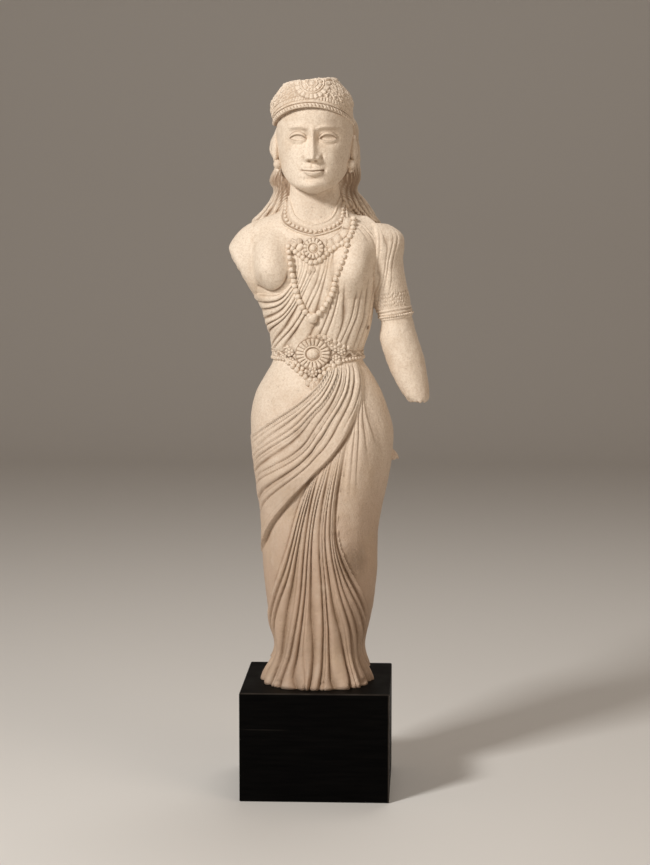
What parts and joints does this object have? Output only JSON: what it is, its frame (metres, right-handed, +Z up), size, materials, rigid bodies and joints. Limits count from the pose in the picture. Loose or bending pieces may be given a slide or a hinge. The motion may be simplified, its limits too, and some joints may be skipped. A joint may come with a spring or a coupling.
{
  "type": "parvati statue",
  "caption": "Broken standing marble figure of a goddess in a draped sari, crown and jewellery, on a plain black wooden plinth.",
  "frame": {"origin": "centre of the plinth's underside", "axes": "+Z up along the figure; the figure faces -Y and its own left arm is on +X"},
  "size_m": [0.2242, 0.165, 0.7931],
  "materials": {
    "marble": "matt, worn, cream white marble with brown stains",
    "black_wood": "satin black paint"
  },
  "bodies": {
    "root": {"marble_figure": "marble", "plinth": "black_wood"}
  },
  "joints": []
}
